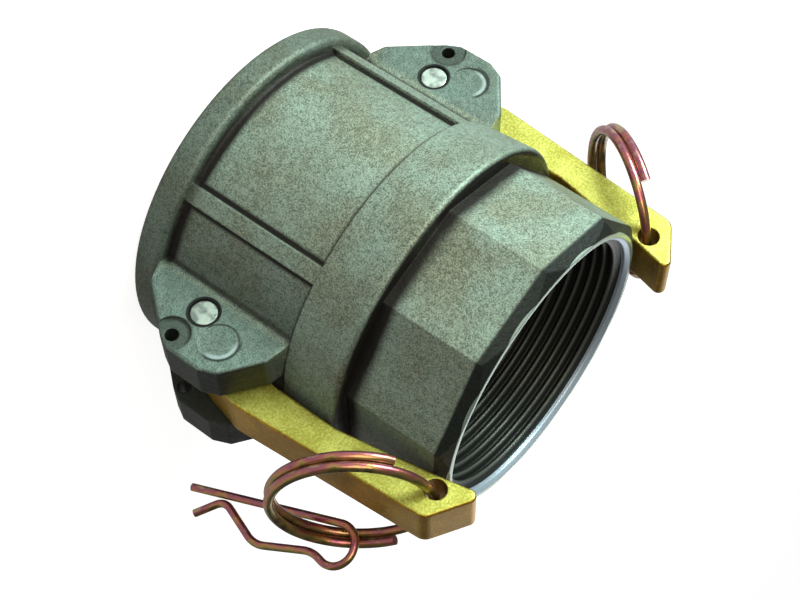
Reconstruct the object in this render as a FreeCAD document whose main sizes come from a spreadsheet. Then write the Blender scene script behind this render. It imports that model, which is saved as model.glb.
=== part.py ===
import FreeCAD, Part
import math
import os
import re
import Sketcher
from FreeCAD import Vector

# Cam and groove coupling: a cast female coupler with two cam arms and a threaded wrench end.
# Millimetres. +Z is the bore axis, from the cam end at z = 0 up to the thread end.
# +X points at the right arm. The arms' pins lie along Y.

DRIVING_SIZES = [
    # Casting, outside
    ("rim_radius", 37.6),
    ("rim_height", 6.2),
    ("barrel_radius", 35.0),
    ("collar_low_radius", 36.1),
    ("collar_top_radius", 37.2),
    ("collar_below_seal", 0.75),
    ("collar_above_seal", 6.55),
    ("wrench_sides", 10),
    ("wrench_flats", 66.0),
    ("wrench_chamfer_width", 1.7),
    ("wrench_chamfer_height", 2.4),
    ("rib_angle", 50.0),
    ("rib_half_angle", 3.0),
    ("edge_rounding", 1.3),
    ("cam_end_rounding", 1.2),
    ("root_rounding", 1.0),
    ("small_rounding", 0.5),
    # Casting, inside
    ("cam_bore_radius", 31.9),
    ("cam_land_length", 11.5),
    ("cam_relief_depth", 0.4),
    ("cam_bore_depth", 39.5),
    ("gasket_groove_radius", 33.6),
    ("waterway_radius", 25.5),
    ("waterway_length", 5.5),
    ("thread_runout", 1.8),
    ("thread_crest_radius", 28.33),
    ("thread_radius", 29.8),
    ("thread_pitch", 2.309),
    ("thread_ridges", 9),
    ("thread_flat", 0.385),
    ("thread_lead_in", 2.484),
    ("mouth_chamfer", 0.8),
    ("end_face_radius", 31.6),
    ("end_cone_width", 4.3),
    ("end_cone_height", 2.8),
    # Ears that carry the pins
    ("ear_gap", 12.4),
    ("ear_thickness", 8.8),
    ("ear_reach", 10.6),
    ("ear_root_radius", 19.0),
    ("ear_low", 5.8),
    ("ear_flat_low", 0.6),
    ("ear_flat_high", 7.4),
    ("ear_slope_reach", 9.0),
    ("ear_slope_low", 3.6),
    ("ear_slope_high", 11.1),
    ("ear_foot_reach", 1.1),
    ("ear_foot_low", 13.2),
    ("ear_foot_high", 17.0),
    ("ear_rounding_radius", 0.8),
    ("clip_hole_radius", 1.45),
    ("clip_hole_outward", 7.5),
    ("clip_hole_below", 1.8),
    ("spot_face_radius", 3.9),
    ("spot_face_depth", 0.6),
    ("moulding_mark_outward", 3.3),
    ("moulding_mark_above", 6.8),
    ("moulding_mark_radius", 4.0),
    ("moulding_mark_depth", 0.35),
    # Pins
    ("pin_radius", 3.0),
    ("pin_offset", 37.2),
    ("pin_height", 20.75),
    ("pin_fit", 0.05),
    ("pin_recess", 0.3),
    ("pin_chamfer", 0.35),
    # Cam arms, measured from the pin, and their tips and ring holes above the casting's end
    ("arm_thickness", 11.0),
    ("arm_fit", 0.08),
    ("cam_lobe_radius", 5.8),
    ("cam_lobe_inward", 3.2),
    ("cam_lobe_above", 0.8),
    ("arm_root_radius", 5.6),
    ("arm_root_reach", 5.0),
    ("arm_root_below", 2.2),
    ("arm_heel_reach", 8.8),
    ("arm_heel_above", 14.0),
    ("arm_gap_to_collar", 0.5),
    ("arm_gap_to_flats", 0.5),
    ("arm_tip_outward", 5.4),
    ("arm_tip_low", 2.2),
    ("arm_tip_high", 9.3),
    ("arm_tip_inward", 5.9),
    ("arm_tip_rounding", 3.0),
    ("arm_corner_rounding", 1.5),
    ("arm_edge_rounding", 0.6),
    ("ring_hole_radius", 2.3),
    ("ring_hole_inward", 0.75),
    ("ring_hole_above", 0.45),
    # Pull rings
    ("ring_wire", 2.05),
    ("ring_radius", 16.0),
    ("ring_coil_gap", 0.1),
    ("ring_turns", 1.67),
    ("ring_seat_gap", 0.1),
    ("ring_swing_angle", 37.0),
    # Safety clips
    ("clip_wire", 1.7),
    ("clip_leg", 40.3),
    ("clip_eye_width", 11.7),
    ("clip_eye_bend", 4.2),
    ("clip_waist_along", 8.8),
    ("clip_waist_width", 6.8),
    ("clip_belly_along", 22.1),
    ("clip_belly_width", 8.4),
    ("clip_throat_along", 31.7),
    ("clip_throat_width", 1.2),
    ("clip_end_along", 37.8),
    ("clip_end_width", 5.2),
    ("clip_soft_bend", 6.0),
    ("clip_throat_bend", 3.0),
    ("clip_seat_gap", 0.25),
    # Gasket
    ("gasket_inner_radius", 25.4),
    ("gasket_thickness", 6.35),
    ("gasket_seat_gap", 0.1),
    ("gasket_rounding", 0.8),
]

# Heights that follow from the driving sizes
DERIVED_SIZES = [
    ("seal_end", "cam_bore_depth + gasket_thickness + 2 * gasket_seat_gap"),
    ("thread_start", "cam_bore_depth + gasket_thickness + waterway_length + thread_runout"),
    ("thread_end", "thread_start + thread_flat + thread_ridges * thread_pitch"),
    ("body_length", "thread_end + thread_lead_in"),
    ("collar_start", "cam_bore_depth - collar_below_seal"),
    ("collar_top", "seal_end + collar_above_seal"),
]

# Lengths that differ by less than this count as equal.
NEAR = 1e-4

doc = FreeCAD.newDocument("coupling")
sheet = doc.addObject("Spreadsheet::Sheet", "Sizes")
for row, (alias, value) in enumerate(DRIVING_SIZES + DERIVED_SIZES, start=1):
    sheet.set(f"A{row}", alias)
    sheet.set(f"B{row}", f"={value}")
    sheet.setAlias(f"B{row}", alias)
doc.recompute()


def size(expression):
    """Works out an expression on the sheet's sizes as a number."""
    value = sheet.evalExpression(expression)
    return float(getattr(value, "Value", value))


def in_sheet(expression):
    """Gives every size in an expression the sheet's name, so that other objects can read it."""
    names = {alias for alias, _ in DRIVING_SIZES + DERIVED_SIZES}
    return re.sub("[a-z_]+", lambda word: "Sizes." * (word[0] in names) + word[0], expression)


def bind(target, name, expression):
    """Ties a property to an expression on the sheet's sizes."""
    target.setExpression(name, in_sheet(expression))


# Shared steps for sketches and features


def new_body(label):
    body = doc.addObject("PartDesign::Body", label)
    body.Label = label
    return body


def new_sketch(body, name, role, height="0"):
    """A sketch on one of the body's origin planes, lifted by a height along the plane's normal."""
    plane = [item for item in body.Origin.OriginFeatures if item.Role == role][0]
    sketch = body.newObject("Sketcher::SketchObject", name)
    sketch.AttachmentSupport = [(plane, "")]
    sketch.MapMode = "FlatFace"
    if height != "0":
        bind(sketch, ".AttachmentOffset.Base.z", height)
    return sketch


def fix_point(sketch, geometry, place, across, up):
    """Holds a sketch point at two expressions, measured from the sketch's origin."""
    for kind, expression in (("DistanceX", across), ("DistanceY", up)):
        number = sketch.addConstraint(Sketcher.Constraint(kind, -1, 1, geometry, place, size(expression)))
        bind(sketch, f"Constraints[{number}]", expression)


def add_polygon(sketch, corners):
    """A closed outline whose corners are pairs of expressions."""
    points = [Vector(size(across), size(up), 0) for across, up in corners]
    lines = []
    for here, there in zip(points, points[1:] + points[:1]):
        lines.append(sketch.addGeometry(Part.LineSegment(here, there)))
    for line, following in zip(lines, lines[1:] + lines[:1]):
        sketch.addConstraint(Sketcher.Constraint("Coincident", line, 2, following, 1))
    for line, (across, up) in zip(lines, corners):
        fix_point(sketch, line, 1, across, up)


def add_circle(sketch, across, up, radius):
    circle = sketch.addGeometry(Part.Circle(Vector(size(across), size(up), 0), Vector(0, 0, 1), size(radius)))
    fix_point(sketch, circle, 3, across, up)
    number = sketch.addConstraint(Sketcher.Constraint("Radius", circle, size(radius)))
    bind(sketch, f"Constraints[{number}]", radius)


def add_feature(body, kind, name, sketch, **settings):
    """Adds a feature that grows or cuts, and checks that it changed the solid."""
    before = body.Tip.Shape.Volume if body.Tip else 0
    feature = body.newObject(f"PartDesign::{kind}", name)
    feature.Profile = sketch
    for setting, value in settings.items():
        if setting in ("Length", "TaperAngle"):
            bind(feature, setting, value)
        else:
            setattr(feature, setting, value)
    doc.recompute()
    grown = feature.Shape.Volume - before
    cuts = kind in ("Pocket", "Groove")
    if (cuts and grown >= 0) or (not cuts and grown <= 0):
        raise ValueError(f"{name} does not change the solid the right way: {grown:.3f}")
    return feature


def turn(body, kind, name, corners):
    """A full turn about Z of an outline given as radius and height."""
    sketch = new_sketch(body, name + "_outline", "XZ_Plane")
    add_polygon(sketch, corners)
    return add_feature(body, kind, name, sketch, ReferenceAxis=(sketch, ["V_Axis"]), Angle=360)


def round_edges(body, name, radius, wanted):
    """Rounds the edges of the body that the test picks."""
    base = body.Tip
    names = [f"Edge{number}" for number, edge in enumerate(base.Shape.Edges, start=1) if wanted(edge)]
    if not names:
        raise ValueError(f"{name} finds no edge")
    fillet = body.newObject("PartDesign::Fillet", name)
    fillet.Base = (base, names)
    bind(fillet, "Radius", radius)
    doc.recompute()
    if not fillet.Shape.isValid():
        raise ValueError(f"{name} is not a valid solid")
    return fillet


def is_ring(edge, radius, height):
    """True for a full circle about Z of this radius at this height."""
    if not isinstance(edge.Curve, Part.Circle):
        return False
    near_height = abs(edge.Curve.Center.z - size(height)) < NEAR
    return near_height and abs(edge.Curve.Radius - size(radius)) < NEAR


# Casting


def ear_corners(side):
    """An ear's outline, from inside the barrel wall outward and back, as distance from Z and height."""
    reach = {
        "foot": "pin_offset + ear_foot_reach",
        "slope": "pin_offset + ear_slope_reach",
        "flat": "pin_offset + ear_reach",
        "root": "ear_root_radius",
        "collar": "barrel_radius - ear_foot_reach",
    }
    outline = [
        ("root", "ear_low"),
        ("collar", "ear_low"),
        ("foot", "pin_height - ear_foot_low"),
        ("slope", "pin_height - ear_slope_low"),
        ("flat", "pin_height - ear_flat_low"),
        ("flat", "pin_height + ear_flat_high"),
        ("slope", "pin_height + ear_slope_high"),
        ("foot", "pin_height + ear_foot_high"),
        ("collar", "collar_start"),
        ("root", "collar_start"),
    ]
    return [(f"{side} * ({reach[name]})", height) for name, height in outline]


def add_ears(body):
    """Four ears: a pair each side, with the arm's gap between the two of a pair."""
    for face in (-1, 1):
        sketch = new_sketch(body, f"ears_{face + 1}", "XZ_Plane", f"{face} * ear_gap / 2")
        for side in (-1, 1):
            add_polygon(sketch, ear_corners(side))
        add_feature(body, "Pad", f"ear_pair_{face + 1}", sketch, Length="ear_thickness", Reversed=face < 0)


def round_ears(body):
    """Rounds the ears' free outlines on the two outer faces."""
    outer_face = size("ear_gap / 2 + ear_thickness")
    foot = size("pin_offset + ear_foot_reach")

    def on_outline(edge):
        box = edge.BoundBox
        on_face = box.YLength < NEAR and abs(box.YMin) > outer_face - NEAR
        return on_face and min(abs(box.XMin), abs(box.XMax)) > foot - NEAR

    round_edges(body, "ear_rounding", "ear_rounding_radius", on_outline)


def add_ear_holes(body):
    """Pin holes, the safety clip's holes with their spot faces, and the round moulding marks."""
    for side in (-1, 1):
        clip_hole = (f"{side} * (pin_offset + clip_hole_outward)", "pin_height - clip_hole_below")
        mark = (f"{side} * (pin_offset + moulding_mark_outward)", "pin_height + moulding_mark_above")
        holes = new_sketch(body, f"holes_{side + 1}", "XZ_Plane")
        add_circle(holes, f"{side} * pin_offset", "pin_height", "pin_radius + pin_fit")
        add_circle(holes, *clip_hole, "clip_hole_radius")
        add_feature(
            body, "Pocket", f"ear_holes_{side + 1}", holes,
            SideType="Symmetric", Length="4 * (ear_gap + ear_thickness)",
        )
        for face in (-1, 1):
            height = f"{face} * (ear_gap / 2 + ear_thickness)"
            tag = f"{side + 1}_{face + 1}"
            spot = new_sketch(body, "spot_" + tag, "XZ_Plane", height)
            add_circle(spot, *clip_hole, "spot_face_radius")
            add_feature(body, "Pocket", "spot_face_" + tag, spot, Length="spot_face_depth", Reversed=face < 0)
            disc = new_sketch(body, "disc_" + tag, "XZ_Plane", height)
            add_circle(disc, *mark, "moulding_mark_radius")
            add_feature(
                body, "Pocket", "moulding_mark_" + tag, disc,
                Length="moulding_mark_depth", Reversed=face < 0,
            )


def add_wrench_end(body):
    """The many-sided wrench end, with flats across X, and its sloping end chamfer."""
    sides = round(size("wrench_sides"))
    step = 360 / sides
    corners = []
    for corner in range(sides):
        angle = step * (corner + 0.5)
        reach = f"wrench_flats / 2 / cos({step / 2})"
        corners.append((f"{reach} * cos({angle})", f"{reach} * sin({angle})"))
    prism = new_sketch(body, "wrench_outline", "XY_Plane", "collar_top - edge_rounding")
    add_polygon(prism, corners)
    prism_length = "body_length - collar_top + edge_rounding - wrench_chamfer_height"
    add_feature(body, "Pad", "wrench_end", prism, Length=prism_length)
    bevel = new_sketch(body, "bevel_outline", "XY_Plane", "body_length - wrench_chamfer_height")
    add_polygon(bevel, corners)
    add_feature(
        body, "Pad", "wrench_bevel", bevel,
        Length="wrench_chamfer_height", TaperAngle="-atan(wrench_chamfer_width / wrench_chamfer_height)",
    )
    turn(body, "Groove", "end_cone", [
        ("end_face_radius", "body_length"),
        ("end_face_radius + end_cone_width", "body_length - end_cone_height"),
        ("end_face_radius + end_cone_width", "body_length + end_cone_height"),
        ("end_face_radius", "body_length + end_cone_height"),
    ])


def add_ribs(body):
    """Four raised ribs along the barrel that frame its plain panels."""
    sketch = new_sketch(body, "rib_outlines", "XY_Plane", "rim_height - edge_rounding")
    for side in (-1, 1):
        for face in (-1, 1):
            outline = []
            for reach, edge in (("cam_bore_radius", "-"), ("collar_low_radius", "-"),
                                ("collar_low_radius", "+"), ("cam_bore_radius", "+")):
                angle = f"(rib_angle {edge} rib_half_angle)"
                outline.append((f"{side} * {reach} * cos{angle}", f"{face} * {reach} * sin{angle}"))
            add_polygon(sketch, outline)
    rib_length = "collar_start + edge_rounding - rim_height + small_rounding"
    add_feature(body, "Pad", "ribs", sketch, Length=rib_length)


def thread_outline():
    """The wall of the threaded end as level ridges, from the run-out up to the mouth."""
    flank = "(thread_pitch / 2 - thread_flat)"
    corners = [("thread_crest_radius", "thread_start")]
    for ridge in range(round(size("thread_ridges"))):
        low = f"thread_start + thread_flat + {ridge} * thread_pitch"
        corners += [
            ("thread_crest_radius", low),
            ("thread_radius", f"{low} + {flank}"),
            ("thread_radius", f"{low} + {flank} + thread_flat"),
            ("thread_crest_radius", f"{low} + thread_pitch - thread_flat"),
        ]
    corners += [("thread_crest_radius", "thread_end"), ("thread_radius", f"thread_end + {flank}")]
    return corners


def make_casting():
    body = new_body("coupler_casting")
    turn(body, "Revolution", "outside", [
        ("0", "0"),
        ("rim_radius", "0"),
        ("rim_radius", "rim_height"),
        ("barrel_radius", "rim_height"),
        ("barrel_radius", "collar_start"),
        ("collar_low_radius", "collar_start"),
        ("collar_top_radius", "collar_top"),
        ("0", "collar_top"),
    ])
    round_edges(body, "rim_rounding", "edge_rounding", lambda edge: (
        is_ring(edge, "rim_radius", "rim_height")
        or is_ring(edge, "collar_top_radius", "collar_top")))
    round_edges(body, "barrel_root", "root_rounding", lambda edge: is_ring(edge, "barrel_radius", "rim_height"))
    round_edges(body, "cam_end_edge", "cam_end_rounding", lambda edge: is_ring(edge, "rim_radius", "0"))
    round_edges(body, "panel_rounding", "small_rounding", lambda edge: (
        is_ring(edge, "collar_low_radius", "collar_start")))
    add_ribs(body)
    add_wrench_end(body)
    add_ears(body)
    round_ears(body)
    add_ear_holes(body)
    turn(body, "Groove", "bores", [
        ("0", "-rim_height"),
        ("cam_bore_radius", "-rim_height"),
        ("cam_bore_radius", "cam_land_length"),
        ("cam_bore_radius + cam_relief_depth", "cam_land_length"),
        ("cam_bore_radius + cam_relief_depth", "2 * pin_height - cam_land_length"),
        ("cam_bore_radius", "2 * pin_height - cam_land_length"),
        ("cam_bore_radius", "cam_bore_depth"),
        ("gasket_groove_radius", "cam_bore_depth"),
        ("gasket_groove_radius", "seal_end"),
        ("waterway_radius", "seal_end"),
        ("waterway_radius", "cam_bore_depth + gasket_thickness + waterway_length"),
        *thread_outline(),
        ("thread_radius", "body_length - mouth_chamfer"),
        ("thread_radius + 2 * mouth_chamfer", "body_length + mouth_chamfer"),
        ("0", "body_length + mouth_chamfer"),
    ])
    window = new_sketch(body, "cam_windows", "YZ_Plane")
    window_top = "2 * pin_height - cam_land_length + ear_foot_reach"
    add_polygon(window, [
        ("-ear_gap / 2", "cam_land_length"),
        ("ear_gap / 2", "cam_land_length"),
        ("ear_gap / 2", window_top),
        ("-ear_gap / 2", window_top),
    ])
    add_feature(body, "Pocket", "cam_window_pair", window, SideType="Symmetric", Length="4 * rim_radius")
    return body


def make_gasket():
    """A flat seal ring that sits in the groove at the foot of the cam bore."""
    body = new_body("gasket")
    outer = "gasket_groove_radius - 2 * gasket_seat_gap"
    low = "cam_bore_depth + gasket_seat_gap"
    high = "cam_bore_depth + gasket_seat_gap + gasket_thickness"
    turn(body, "Revolution", "seal", [
        ("gasket_inner_radius", low),
        (outer, low),
        (outer, high),
        ("gasket_inner_radius", high),
    ])
    round_edges(body, "seal_rounding", "gasket_rounding", lambda edge: isinstance(edge.Curve, Part.Circle))
    return body


# Arms and pins


def set_at_pin(body, side):
    """Puts a body's origin on a pin's middle, turned half a turn for the left side."""
    body.Placement = FreeCAD.Placement(Vector(), FreeCAD.Rotation(Vector(0, 0, 1), 90 - 90 * side))
    bind(body, ".Placement.Base.x", f"{side} * pin_offset")
    bind(body, ".Placement.Base.z", "pin_height")


def make_pin(name, side):
    body = new_body("pivot_pin_" + name)
    end = "(ear_gap / 2 + ear_thickness - pin_recess)"
    sketch = new_sketch(body, "pin_outline", "XY_Plane")
    add_polygon(sketch, [
        ("0", f"-{end}"),
        ("pin_radius - pin_chamfer", f"-{end}"),
        ("pin_radius", f"-{end} + pin_chamfer"),
        ("pin_radius", f"{end} - pin_chamfer"),
        ("pin_radius - pin_chamfer", end),
        ("0", end),
    ])
    add_feature(body, "Revolution", "pin", sketch, ReferenceAxis=(sketch, ["V_Axis"]), Angle=360)
    set_at_pin(body, side)
    return body


def make_arm(name, side):
    """A flat cam arm: lobe and root round the pin, and a bar that follows the body to a slanted tip."""
    body = new_body("cam_arm_" + name)
    inner_at_collar = "collar_top_radius - pin_offset + arm_gap_to_collar"
    inner_at_mouth = "wrench_flats / 2 - pin_offset + arm_gap_to_flats"
    thickness = {"SideType": "Symmetric", "Length": "arm_thickness"}
    lobe = new_sketch(body, "lobe_outline", "XZ_Plane")
    add_circle(lobe, "-cam_lobe_inward", "cam_lobe_above", "cam_lobe_radius")
    add_feature(body, "Pad", "lobe", lobe, **thickness)
    root = new_sketch(body, "root_outline", "XZ_Plane")
    add_circle(root, "0", "0", "arm_root_radius")
    add_feature(body, "Pad", "root", root, **thickness)
    bar = new_sketch(body, "bar_outline", "XZ_Plane")
    add_polygon(bar, [
        ("arm_root_reach", "-arm_root_below"),
        ("arm_heel_reach", "arm_heel_above"),
        ("arm_tip_outward", "body_length + arm_tip_low - pin_height"),
        ("-arm_tip_inward", "body_length + arm_tip_high - pin_height"),
        (inner_at_mouth, "body_length - pin_height"),
        (inner_at_collar, "collar_top - pin_height + edge_rounding"),
        (inner_at_collar, "collar_start - pin_height - edge_rounding"),
        ("-cam_lobe_inward", "cam_lobe_above"),
    ])
    add_feature(body, "Pad", "bar", bar, **thickness)
    tip_low = size("body_length + arm_tip_low - pin_height") - NEAR
    tip_high = size("body_length + arm_tip_high - pin_height") - NEAR

    def upright_at(height):
        return lambda edge: (
            edge.BoundBox.YLength > size("arm_thickness") - NEAR
            and edge.BoundBox.ZLength < NEAR
            and edge.BoundBox.ZMin > height)

    round_edges(body, "inner_tip_corner", "arm_corner_rounding", upright_at(tip_high))
    round_edges(body, "outer_tip_corner", "arm_tip_rounding", lambda edge: (
        upright_at(tip_low)(edge) and edge.BoundBox.XMin > 0))
    face = size("arm_thickness / 2")
    bar_foot = size("arm_heel_above") - NEAR
    round_edges(body, "arm_edges", "arm_edge_rounding", lambda edge: (
        edge.BoundBox.YLength < NEAR
        and abs(abs(edge.BoundBox.YMin) - face) < NEAR
        and edge.BoundBox.ZMin > bar_foot))
    holes = new_sketch(body, "hole_outlines", "XZ_Plane")
    add_circle(holes, "0", "0", "pin_radius + arm_fit")
    add_circle(holes, "-ring_hole_inward", "body_length + ring_hole_above - pin_height", "ring_hole_radius")
    add_feature(body, "Pocket", "holes", holes, SideType="Symmetric", Length="2 * arm_thickness")
    set_at_pin(body, side)
    return body


# Pull rings and safety clips


def ring_frame(side, tilt):
    """The ring's centre and axes: outward to the arm's hole, along the wire there, and the ring's own axis."""
    hole = Vector(side * size("pin_offset - ring_hole_inward"), 0, size("body_length + ring_hole_above"))
    swing = math.radians(size("ring_swing_angle"))
    lean = math.radians(tilt)
    hang = Vector(side * math.sin(swing), 0, -math.cos(swing))
    axis = hang.cross(Vector(0, 1, 0))
    to_centre = hang * math.cos(lean) - Vector(0, 1, 0) * math.sin(lean)
    half_arm = size("arm_thickness / 2")
    radius = size("ring_radius")
    slope = math.asin(half_arm / radius) + lean
    drop = size("ring_hole_radius - ring_seat_gap") - size("ring_wire / 2") / math.cos(slope)
    # The wire's lowest point in the hole, at the arm's face, is one drop below the hole's centre.
    half_sum = drop * math.cos(lean) - half_arm * math.sin(lean)
    reach = half_sum + math.sqrt(half_sum ** 2 + radius ** 2 - half_arm ** 2 - drop ** 2)
    centre = hole + to_centre * reach
    return centre, -to_centre, axis.cross(-to_centre), axis


def make_ring(name, side, tilt):
    """A wire ring of nearly two turns, held by the single stretch of wire in the arm's hole."""
    pitch = "(ring_wire + ring_coil_gap)"
    spine = doc.addObject("Part::Helix", "ring_spine_" + name)
    bind(spine, "Pitch", pitch)
    bind(spine, "Height", f"{pitch} * ring_turns")
    bind(spine, "Radius", "ring_radius")
    spine.SegmentLength = 0.5
    wire = doc.addObject("Part::Circle", "ring_wire_" + name)
    rise = size(f"atan({pitch} / (2 * 180deg * ring_radius / 1rad))")
    wire.Placement = FreeCAD.Placement(Vector(), FreeCAD.Rotation(Vector(1, 0, 0), 90 + rise))
    bind(wire, "Radius", "ring_wire / 2")
    bind(wire, ".Placement.Base.x", "ring_radius")
    ring = doc.addObject("Part::Sweep", "pull_ring_" + name)
    ring.Label = "pull_ring_" + name
    ring.Sections = [wire]
    ring.Spine = (spine, [])
    ring.Solid = True
    ring.Frenet = True
    centre, outward, along, axis = ring_frame(side, tilt)
    stand = FreeCAD.Placement(centre, FreeCAD.Rotation(outward, along, axis, "XYZ"))
    half_turns = FreeCAD.Rotation(Vector(0, 0, 1), -180 * size("ring_turns"))
    middle = Vector(0, 0, -size(f"{pitch} * ring_turns / 2"))
    ring.Placement = stand.multiply(FreeCAD.Placement(middle, half_turns))
    return ring


def rounded_path(points, bends):
    """Straight runs through the points, joined by a tangent arc at each inner point."""
    edges = []
    start = points[0]
    for before, corner, after, radius in zip(points, points[1:], points[2:], bends):
        into = (corner - before).normalize()
        out = (after - corner).normalize()
        half_turn = into.getAngle(out) / 2
        back = radius * math.tan(half_turn)
        first = corner - into * back
        last = corner + out * back
        inward = (out - into).normalize()
        middle = corner + inward * (radius / math.cos(half_turn) - radius)
        edges.append(Part.LineSegment(start, first).toShape())
        edges.append(Part.Arc(first, middle, last).toShape())
        start = last
    edges.append(Part.LineSegment(start, points[-1]).toShape())
    return Part.Wire(edges)


def make_clip(name, side, tilt, pose):
    """A spring clip of bent wire: straight leg, eye round the ring's coils, and waved leg."""
    points = [
        Vector(size("clip_leg"), 0, 0),
        Vector(0, 0, 0),
        Vector(0, size("clip_eye_width"), 0),
        Vector(size("clip_waist_along"), size("clip_waist_width"), 0),
        Vector(size("clip_belly_along"), size("clip_belly_width"), 0),
        Vector(size("clip_throat_along"), size("clip_throat_width"), 0),
        Vector(size("clip_end_along"), size("clip_end_width"), 0),
    ]
    eye, soft, throat = size("clip_eye_bend"), size("clip_soft_bend"), size("clip_throat_bend")
    path = rounded_path(points, [eye, eye, soft, soft, throat])
    section = Part.Wire(Part.Circle(points[0], Vector(1, 0, 0), size("clip_wire / 2")).toShape())
    clip = doc.addObject("Part::Feature", "safety_clip_" + name)
    clip.Label = "safety_clip_" + name
    clip.Shape = path.makePipeShell([section], True, False)
    clip.Placement = rest_on_ring(path, name, hang_clip(side, tilt, pose))
    return clip


def hang_clip(side, tilt, pose):
    """Where the clip hangs before it rests: its eye round both coils, at a place along the ring."""
    centre, outward, along, axis = ring_frame(side, tilt)
    where = math.radians(pose["ring_position"])
    spoke = outward * math.cos(where) + along * math.sin(where)
    wire_way = along * math.cos(where) - outward * math.sin(where)
    between_coils = size("ring_wire + ring_coil_gap") * (pose["ring_position"] / 360 - 0.5)
    at_coils = centre + spoke * size("ring_radius") + axis * between_coils
    ring_axes = FreeCAD.Placement(at_coils, FreeCAD.Rotation(wire_way, spoke, -axis, "XYZ"))
    bent = FreeCAD.Placement(Vector(), FreeCAD.Rotation(Vector(*pose["turn_axis"]), pose["turn_angle"]))
    eye_point = Vector(size("clip_eye_bend") * pose["along"], size("clip_eye_width") * pose["across"], 0)
    return ring_axes.multiply(bent).multiply(FreeCAD.Placement(-eye_point, FreeCAD.Rotation()))


def rest_on_ring(path, name, stand):
    """Moves a hung clip until the nearest coil is one seat gap from its wire."""
    coils = doc.getObject("pull_ring_" + name)
    spine = coils.Spine[0].Shape.copy()
    spine.Placement = coils.Placement
    rest = size("(clip_wire + ring_wire) / 2 + clip_seat_gap")
    for _ in range(SEAT_STEPS):
        hung = path.copy()
        hung.Placement = stand
        distance, nearest = hung.distToShape(spine)[:2]
        away = (nearest[0][0] - nearest[0][1]).normalize()
        stand = FreeCAD.Placement(away * (rest - distance), FreeCAD.Rotation()).multiply(stand)
    return stand


SEAT_STEPS = 8
RING_TILT = {"right": 9.0, "left": 0.0}
CLIP_POSES = {
    "right": {"ring_position": 121.7, "along": 2.09, "across": 0.33,
              "turn_axis": (-0.72, -1.04, 1.19), "turn_angle": 99.5},
    "left": {"ring_position": 116.4, "along": 2.02, "across": 0.26,
             "turn_axis": (-3.81, -2.64, -1.29), "turn_angle": -84.1},
}

parts = [make_casting(), make_gasket()]
for name, side in (("right", 1), ("left", -1)):
    parts.append(make_pin(name, side))
    parts.append(make_arm(name, side))
    parts.append(make_ring(name, side, RING_TILT[name]))
    doc.recompute()
    parts.append(make_clip(name, side, RING_TILT[name], CLIP_POSES[name]))
doc.recompute()

# Checks on the whole document before anything is written

for item in doc.Objects:
    if any(word in item.State for word in ("Invalid", "Error")):
        raise ValueError(f"{item.Label} failed: {item.State}")
for part in parts:
    if part.Shape.isNull() or not part.Shape.isValid():
        raise ValueError(f"{part.Label} has no valid shape")

os.makedirs("parts", exist_ok=True)
for part in parts:
    part.Shape.exportStep(f"parts/{part.Label}.step")
    print(f"{part.Label}: {len(part.Shape.Solids)} solid, {part.Shape.Volume:.1f} mm3")
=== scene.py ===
import math

import bpy
from mathutils import Matrix, Vector


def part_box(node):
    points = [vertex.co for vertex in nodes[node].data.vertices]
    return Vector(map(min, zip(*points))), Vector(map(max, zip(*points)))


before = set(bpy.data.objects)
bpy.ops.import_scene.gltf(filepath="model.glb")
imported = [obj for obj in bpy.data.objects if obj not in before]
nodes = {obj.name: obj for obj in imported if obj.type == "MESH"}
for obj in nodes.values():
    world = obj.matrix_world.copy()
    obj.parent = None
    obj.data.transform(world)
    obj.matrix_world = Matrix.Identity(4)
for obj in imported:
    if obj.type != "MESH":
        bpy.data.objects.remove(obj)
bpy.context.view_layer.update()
bpy.ops.object.select_all(action="DESELECT")


# Camera: the coupling stands on its cam end, and the view is rolled so that the bore runs
# down to the right of the picture.

CAMERA_PLACE = Vector((-0.1489, 0.2964, 0.1614))
CAMERA_RIGHT = Vector((0.6139, -0.0143, 0.7893))
CAMERA_UP = Vector((0.6730, 0.5322, -0.5138))
CAMERA_LENS = 76.23

camera_data = bpy.data.cameras.new("camera")
camera_data.lens = CAMERA_LENS
camera_data.sensor_width = 36.0
camera = bpy.data.objects.new("camera", camera_data)
bpy.context.scene.collection.objects.link(camera)
turn = Matrix((CAMERA_RIGHT, CAMERA_UP, CAMERA_RIGHT.cross(CAMERA_UP))).transposed()
camera.matrix_world = Matrix.Translation(CAMERA_PLACE) @ turn.to_4x4()
bpy.context.scene.camera = camera


# Coupler casting: the body of the coupling, sand-cast in aluminium and tumbled to a sandy grey
# skin, with painted shade in its corners. The bores, the mouth and the flat end are machined
# bright, and the cut thread is painted dark as the shade inside the mouth.

# The flat end's height and the middle of a pin come from the frame. The other spots on the ears
# are placed by their distance from the pin.
FLAT_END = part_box("coupler_casting")[1].z
PIN = sum(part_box("pivot_pin_right"), Vector()) / 2
MOULDING_MARK = PIN + Vector((0.0033, 0.0, 0.0068))
CLIP_HOLE = PIN + Vector((0.0075, 0.0, -0.0018))

# The corners that get painted shade: three heights above the cam end, the ears' faces by their
# distance from the middle plane, the ears' roots by their radius, and the ribs by their angle from
# X.
RIM_ROOT = 0.0071
PANEL_END = 0.0386
COLLAR_CREASE = 0.0534
EAR_FACE = 0.0150
EAR_ROOT = 0.0352
RIB_ANGLE = math.radians(50.0)

# Painted shade on the skin.
PAINTED_SHADE = (0.018, 0.020, 0.016)
# Painted shade in the corners.
CORNER_SHADE = (0.010, 0.008, 0.006)
BEVEL_BLACK = (0.007, 0.009, 0.008)
EAR_BLUE = (0.030, 0.090, 0.095)
SHADOW_LINE = (0.008, 0.008, 0.008)


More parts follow.
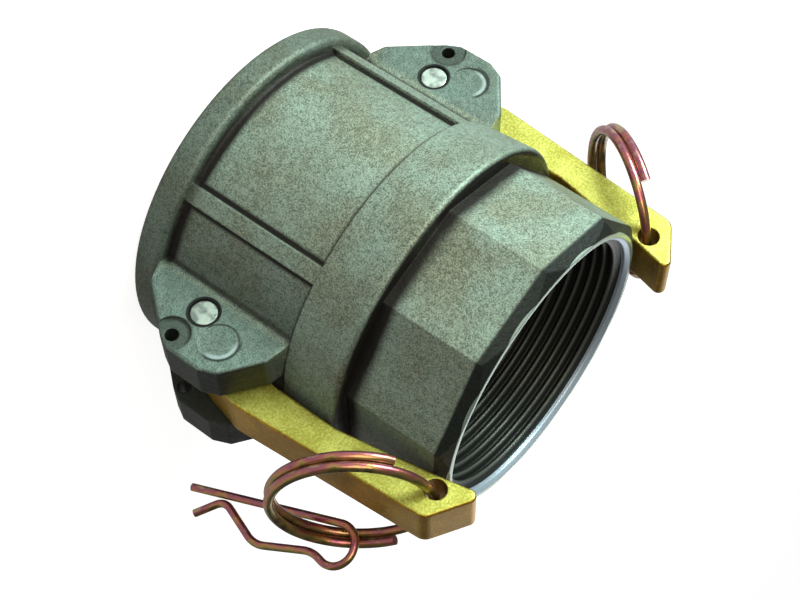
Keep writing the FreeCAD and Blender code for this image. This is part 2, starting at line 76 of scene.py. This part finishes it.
class Signal:
    """A value in a material. Arithmetic on it adds the nodes that work it out."""

    def __init__(self, finish, socket):
        self.finish = finish
        self.socket = socket

    def math(self, operation, *others):
        return self.finish.add("ShaderNodeMath", {"operation": operation}, self, *others)

    def __add__(self, other):
        return self.math("ADD", other)

    __radd__ = __add__

    def __sub__(self, other):
        return self.math("SUBTRACT", other)

    def __rsub__(self, other):
        return self.finish.add("ShaderNodeMath", {"operation": "SUBTRACT"}, other, self)

    def __mul__(self, other):
        return self.math("MULTIPLY", other)

    __rmul__ = __mul__

    def __abs__(self):
        return self.math("ABSOLUTE")

    def root(self):
        return self.math("SQRT")

    def largest(self, *others):
        result = self
        for other in others:
            result = result.math("MAXIMUM", other)
        return result

    def fade(self, start, end):
        """0 before start and 1 after end, smooth between them."""
        settings = {"interpolation_type": "SMOOTHSTEP"}
        return self.finish.add("ShaderNodeMapRange", settings, self, start, end, 0.0, 1.0)

    def fade_out(self, start, end):
        """1 before start and 0 after end, smooth between them."""
        return 1 - self.fade(start, end)

    def near(self, centre, reach):
        """1 at the centre, falling to 0 at a reach from it on both sides."""
        return abs(self - centre).fade_out(0.0, reach)


class Finish:
    """A material, named after the finish that it gives."""

    def __init__(self, name, **constants):
        self.material = bpy.data.materials.new(name)
        self.material.use_nodes = True
        self.shader = self.material.node_tree.nodes["Principled BSDF"]
        self.feed(**constants)
        self.place = self.add("ShaderNodeTexCoord", {}, output="Object")

    def add(self, kind, settings, *inputs, output=0):
        """Adds a node: its settings first, then the values or links of its sockets."""
        node = self.material.node_tree.nodes.new(kind)
        for setting, value in settings.items():
            if setting == "stops":
                self.set_stops(node.color_ramp.elements, value)
            else:
                setattr(node, setting, value)
        free = [socket for socket in node.inputs if socket.enabled]
        for socket, value in zip(free, inputs):
            if value is not None:
                self.join(socket, value)
        return Signal(self, node.outputs[output])

    def set_stops(self, elements, stops):
        """Sets a ramp's colours. Each stop is a place from 0 to 1 and its colour."""
        while len(elements) < len(stops):
            elements.new(1.0)
        for element, (position, colour) in zip(elements, stops):
            element.position = position
            element.color = (*colour, 1.0)

    def join(self, socket, value):
        """Links a socket to a signal, or sets it to a number, vector or colour."""
        if isinstance(value, Signal):
            self.material.node_tree.links.new(value.socket, socket)
        elif socket.type == "RGBA":
            socket.default_value = (*value, 1.0)
        else:
            socket.default_value = value

    def feed(self, **sockets):
        """Joins the shader's sockets, named with underscores for their spaces."""
        for name, value in sockets.items():
            self.join(self.shader.inputs[name.replace("_", " ")], value)

    def split(self):
        """The three coordinates of a point on the piece, in metres."""
        first = self.add("ShaderNodeSeparateXYZ", {}, self.place)
        return [Signal(self, socket) for socket in first.socket.node.outputs]

    def facing(self, direction):
        """1 where the surface faces a direction of the piece, and -1 where it faces away."""
        normal = self.add("ShaderNodeTexCoord", {}, output="Normal")
        settings = {"operation": "DOT_PRODUCT"}
        return self.add("ShaderNodeVectorMath", settings, normal, direction, output="Value")

    def noise(self, grain, detail=2.0, roughness=0.5):
        """Even noise from about 0.3 to 0.7, with lumps of the given size in metres."""
        return self.add("ShaderNodeTexNoise", {}, self.place, 1 / grain, detail, roughness)

    def mix(self, factor, low, high):
        """Goes from one colour to another as the factor goes from 0 to 1."""
        settings = {"data_type": "RGBA", "clamp_factor": True}
        return self.add("ShaderNodeMix", settings, factor, low, high, output=2)

    def bump(self, height, depth, soft_edge=None):
        """Bumps the surface by a height signal. A soft edge rounds the solid's sharp edges too."""
        normal = None
        if soft_edge:
            normal = self.add("ShaderNodeBevel", {"samples": 6}, soft_edge)
        self.feed(Normal=self.add("ShaderNodeBump", {}, 1.0, depth, None, height, normal))

    def cover(self, *names):
        for name in names:
            nodes[name].data.materials.clear()
            nodes[name].data.materials.append(self.material)


cast = Finish("cast_aluminium")
x, y, z = cast.split()
radius = (x * x + y * y).root()
side = abs(x)
face = abs(y)


def away_from(spot):
    """How far a point of an ear is from a spot on it."""
    out = side - spot.x
    up = z - spot.z
    return (out * out + up * up).root()


# The raw skin: fine grit and wider patches between a sandy and a greener grey.
grit = cast.noise(0.00032, 2.0, 0.6)
skin = cast.noise(0.0011, 3.0, 0.6)
patches = cast.noise(0.012)
lumps = cast.noise(0.0045)
tone = (grit * 0.80 + skin * 0.32 + patches * 0.15).fade(0.45, 0.80)
sand = cast.mix(tone, (0.088, 0.094, 0.064), (0.262, 0.300, 0.220))
green_grey = cast.mix(tone, (0.086, 0.110, 0.086), (0.275, 0.358, 0.290))
raw_skin = cast.mix(patches.fade(0.26, 0.66), sand, green_grey)

# Painted shade on the rim, on the ears' sides, on the barrel beside the ears and underneath, and
# a darker, bluer tint on the ears. Here and below, each pair of numbers says where a soft edge
# starts and where it ends.
rim = z.fade_out(0.0058, 0.0075) * radius.fade(0.0350, 0.0356)
ear_area = side.fade(0.0300, 0.0320) * radius.fade(0.0362, 0.0375)
ears = ear_area * z.fade_out(0.037, 0.039) * z.fade(0.0068, 0.0080)
ear_sides = ears * face.fade_out(0.0142, 0.0147)
barrel = z.fade(0.0070, 0.0085) * z.fade_out(0.0380, 0.0388) * radius.fade_out(0.0352, 0.0356)
beside_ears = side.fade(0.020, 0.030) * barrel
underside = cast.facing((0.0, 0.0, -1.0)).fade(0.1, 0.8)
shade_amount = (rim * 0.42).largest(ear_sides * 0.92, underside * 0.95, beside_ears * 0.35)
ear_skin = cast.mix(ears * 0.40, raw_skin, EAR_BLUE)
shaded_skin = cast.mix(shade_amount, ear_skin, PAINTED_SHADE)

# Painted shade in the corners: under the collar, over the rim, along the ribs, panels and ears.
# A band at the flat end's outer edge is painted near black.
under_collar = z.near(COLLAR_CREASE, 0.0036) * radius.fade_out(0.0362, 0.0372)
over_rim = z.near(RIM_ROOT, 0.0024) * radius.near(0.0350, 0.0020)
rib_away = abs(face - side * math.tan(RIB_ANGLE)) * math.cos(RIB_ANGLE)
rib_reach = radius.fade_out(0.0352, 0.0358) * z.fade(0.005, 0.007) * z.fade_out(0.0385, 0.0395)
rib_edges = rib_away.near(0.0023, 0.0012) * rib_reach
barrel_skin = radius.fade_out(0.0354, 0.0362) * radius.fade(0.0342, 0.0348)
panel_ends = z.near(PANEL_END, 0.0008) * barrel_skin
ear_roots = face.near(EAR_FACE, 0.0010) * radius.near(EAR_ROOT, 0.0010)
corner_shade = under_collar.largest(over_rim, rib_edges, panel_ends * 0.6, ear_roots * 0.6)
corner_shaded = cast.mix(corner_shade * (0.75 + patches), shaded_skin, CORNER_SHADE)
bevel = z.fade(FLAT_END - 0.0030, FLAT_END - 0.0023) * radius.fade(0.0310, 0.0312)
darkened = cast.mix(bevel * 0.96, corner_shaded, BEVEL_BLACK)

# On the ears' faces, all painted: a shadow ring round the pin, a highlight on the moulding mark's
# lower edge with its shadow, and the shadow in the spot face of the clip's hole.
on_face = face.fade(0.0142, 0.0146)
pin_shadow_ring = away_from(PIN).fade_out(0.0034, 0.0037) * on_face
low_side = (side - MOULDING_MARK.x + (z - MOULDING_MARK.z) * 1.6).fade(0.0010, 0.0050)
mark_away = away_from(MOULDING_MARK)
mark_highlight = mark_away.near(0.0034, 0.0008) * on_face * low_side
mark_shade = mark_away.near(0.0043, 0.0005) * on_face * low_side
inner_side = (CLIP_HOLE.x - side + (z - CLIP_HOLE.z) * 0.2).fade(-0.0010, 0.0025)
hole_shade = away_from(CLIP_HOLE).near(0.0036, 0.0009) * on_face * inner_side
highlighted = cast.mix(mark_highlight * 0.7, darkened, (0.40, 0.50, 0.50))
shadow_lines = pin_shadow_ring.largest(mark_shade * 0.85, hole_shade * 0.75)
lined = cast.mix(shadow_lines, highlighted, SHADOW_LINE)

# Cut metal: the cam bore and its entry, the flat end, the mouth's chamfer and the thread.
lip = radius.fade_out(0.03165, 0.03175) * z.fade(FLAT_END - 0.0010, FLAT_END - 0.0008)
mouth = radius.fade_out(0.0306, 0.0307) * z.fade(FLAT_END - 0.0016, FLAT_END - 0.0014)
bored = radius.fade_out(0.0337, 0.0338) * z.fade_out(0.0468, 0.0470)
entry = z.fade_out(0.0001, 0.0002) * radius.fade_out(0.0358, 0.0362)
bright = bored.largest(entry, lip, mouth)
thread_area = radius.fade_out(0.0301, 0.0303) * z.fade(0.0515, 0.0520)
threaded = thread_area * (1 - lip.largest(mouth))
crest = radius.fade_out(0.02845, 0.02900)
# The thread is painted dark as the shade inside the mouth, darkest in its roots between the
# crests.
thread_shade_colour = cast.mix(crest, (0.022, 0.024, 0.021), (0.105, 0.115, 0.100))
cut_colour = cast.mix(mouth, (0.34, 0.42, 0.36), (0.52, 0.62, 0.72))
coloured = cast.mix(bright, cast.mix(threaded, lined, thread_shade_colour), cut_colour)

gloss = 0.54 + (grit - 0.5) * 0.3 - bright * 0.12 - threaded * 0.10
cast.feed(Base_Color=coloured, Roughness=gloss, Metallic=0.55 + bright * 0.15)
cast_skin = (grit * 0.30 + skin * 0.60 + lumps * 0.9) * (1 - bright.largest(threaded))
cast.bump(cast_skin, 0.00022, soft_edge=0.0005)
cast.cover("coupler_casting")


# Gasket: the flat ring that seals against the adapter's end. It is moulded in nitrile rubber
# and pressed by hand into the groove at the foot of the cam bore.

nitrile = Finish("nitrile_rubber")
bloom = nitrile.noise(0.003, 3.0)
rubber_colour = nitrile.mix(bloom, (0.016, 0.016, 0.016), (0.045, 0.045, 0.043))
nitrile.feed(Base_Color=rubber_colour, Roughness=0.55 + bloom * 0.25)
nitrile.bump(nitrile.noise(0.0008), 0.00005)
nitrile.cover("gasket")


# Pivot pins: short rods of ground steel that carry the cam arms. Each is driven through a pair
# of the casting's ears, and its ends are left bright.

steel = Finish("pin_steel", Metallic=0.95)
smear = steel.noise(0.0022)
fine = steel.noise(0.0004)
pin_colour = steel.mix(smear.fade(0.35, 0.65), (0.25, 0.30, 0.27), (0.60, 0.70, 0.62))
steel.feed(Base_Color=pin_colour, Roughness=0.30 + fine * 0.2)
steel.bump(smear + fine * 0.3, 0.00010, soft_edge=0.0002)
steel.cover("pivot_pin_right", "pivot_pin_left")


# Cam arms: brass forgings that turn on the pins, tumbled to a fine satin grain. Their flat
# faces are yellow, and their long edges are painted a deeper brown gold as shade.

ARM_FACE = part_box("cam_arm_right")[1].y

brass = Finish("tumbled_brass", Metallic=0.8)
x, y, z = brass.split()
grain = brass.noise(0.0005, 3.0, 0.6)
cloud = brass.noise(0.006)
speckle = (grain * 0.7 + cloud * 0.4).fade(0.42, 0.70)
# Painted shade: the long edges get a darker, browner copy of the brass colour.
shaded_edge_colour = brass.mix(speckle, (0.30, 0.165, 0.012), (0.50, 0.300, 0.028))
face_colour = brass.mix(speckle, (0.36, 0.335, 0.050), (0.60, 0.600, 0.140))
flat_face = abs(y).fade(ARM_FACE - 0.00015, ARM_FACE - 0.00002)
arm_colour = brass.mix(flat_face, shaded_edge_colour, face_colour)
brass.feed(Base_Color=arm_colour, Roughness=0.42 + (grain - 0.5) * 0.3)
brass.bump(grain * 0.4 + cloud * 0.5, 0.00012, soft_edge=0.0003)
brass.cover("cam_arm_right", "cam_arm_left")


# Pull rings and safety clips: hard steel wire, coiled through the arms' end holes, and bent to
# clips that hang on the rings. It is zinc plated and yellow passivated, so its skin shimmers
# from copper pink to gold and green.

FILM_COLOURS = (
    (0.05, (0.10, 0.06, 0.03)),
    (0.30, (0.26, 0.22, 0.06)),
    (0.48, (0.44, 0.22, 0.09)),
    (0.62, (0.42, 0.13, 0.12)),
    (0.78, (0.30, 0.09, 0.14)),
    (0.95, (0.50, 0.33, 0.18)),
)

plated = Finish("yellow_passivated_wire", Metallic=0.9, Coat_Weight=0.3, Coat_Roughness=0.15)
drift = plated.noise(0.0035)
shimmer = 0.5 + plated.facing((0.35, 0.60, -0.72)) * 0.35 + (drift - 0.5) * 1.1
film = plated.add("ShaderNodeValToRGB", {"stops": FILM_COLOURS}, shimmer)
plated.feed(Base_Color=film, Roughness=0.22 + drift * 0.15)
plated.bump(plated.noise(0.0007), 0.00003)
plated.cover("pull_ring_right", "pull_ring_left", "safety_clip_right", "safety_clip_left")


# Studio: a white floor and backdrop that the camera sees as plain white, with a soft shadow, a
# broad key light from the near side, a warm fill, and weak wide light from behind, as of a
# window, for the sides that the photo doesn't show.

AIM = Vector((0.0, 0.0, 0.04))
WORLD_LIGHT = 0.13

bpy.ops.mesh.primitive_plane_add(size=6.0, location=(0, 0, 0))
floor = bpy.context.object
floor.name = floor.data.name = "floor"
paper = Finish(
    "floor_paper", Base_Color=(0.50, 0.50, 0.50), Roughness=0.9, Emission_Strength=0.84
)
seen = paper.add("ShaderNodeLightPath", {}, output="Is Camera Ray")
mirrored = paper.add("ShaderNodeLightPath", {}, output="Is Glossy Ray")
paper.feed(Emission_Color=seen.largest(mirrored * 0.3))
floor.data.materials.append(paper.material)

world = bpy.data.worlds.new("studio")
bpy.context.scene.world = world
world.use_nodes = True
backdrop = world.node_tree.nodes["Background"]
backdrop.inputs["Color"].default_value = (1.0, 1.0, 1.0, 1.0)
path = world.node_tree.nodes.new("ShaderNodeLightPath")
glow = world.node_tree.nodes.new("ShaderNodeMath")
glow.operation = "MAXIMUM"
glow.inputs[1].default_value = WORLD_LIGHT
world.node_tree.links.new(path.outputs["Is Camera Ray"], glow.inputs[0])
world.node_tree.links.new(glow.outputs[0], backdrop.inputs["Strength"])


def add_lamp(name, kind, place, power, colour, **settings):
    """Adds a lamp at a place and aims it at the middle of the coupling."""
    lamp_data = bpy.data.lights.new(name, kind)
    lamp_data.energy = power
    lamp_data.color = colour
    for setting, value in settings.items():
        setattr(lamp_data, setting, value)
    lamp = bpy.data.objects.new(name, lamp_data)
    lamp.location = place
    lamp.rotation_euler = (AIM - Vector(place)).to_track_quat("-Z", "Y").to_euler()
    bpy.context.scene.collection.objects.link(lamp)


add_lamp("key", "AREA", (0.52, 0.60, 0.27), 12.2, (0.85, 1.0, 0.95), shape="SQUARE", size=0.4)
add_lamp("fill", "AREA", (-0.24, 0.72, 0.42), 3.4, (1.0, 0.92, 0.78), shape="SQUARE", size=0.5)
add_lamp("window", "SUN", (0.22, -0.72, 0.28), 0.7, (1.0, 1.0, 1.0), angle=math.radians(40.0))
bpy.context.scene.view_settings.view_transform = "Standard"
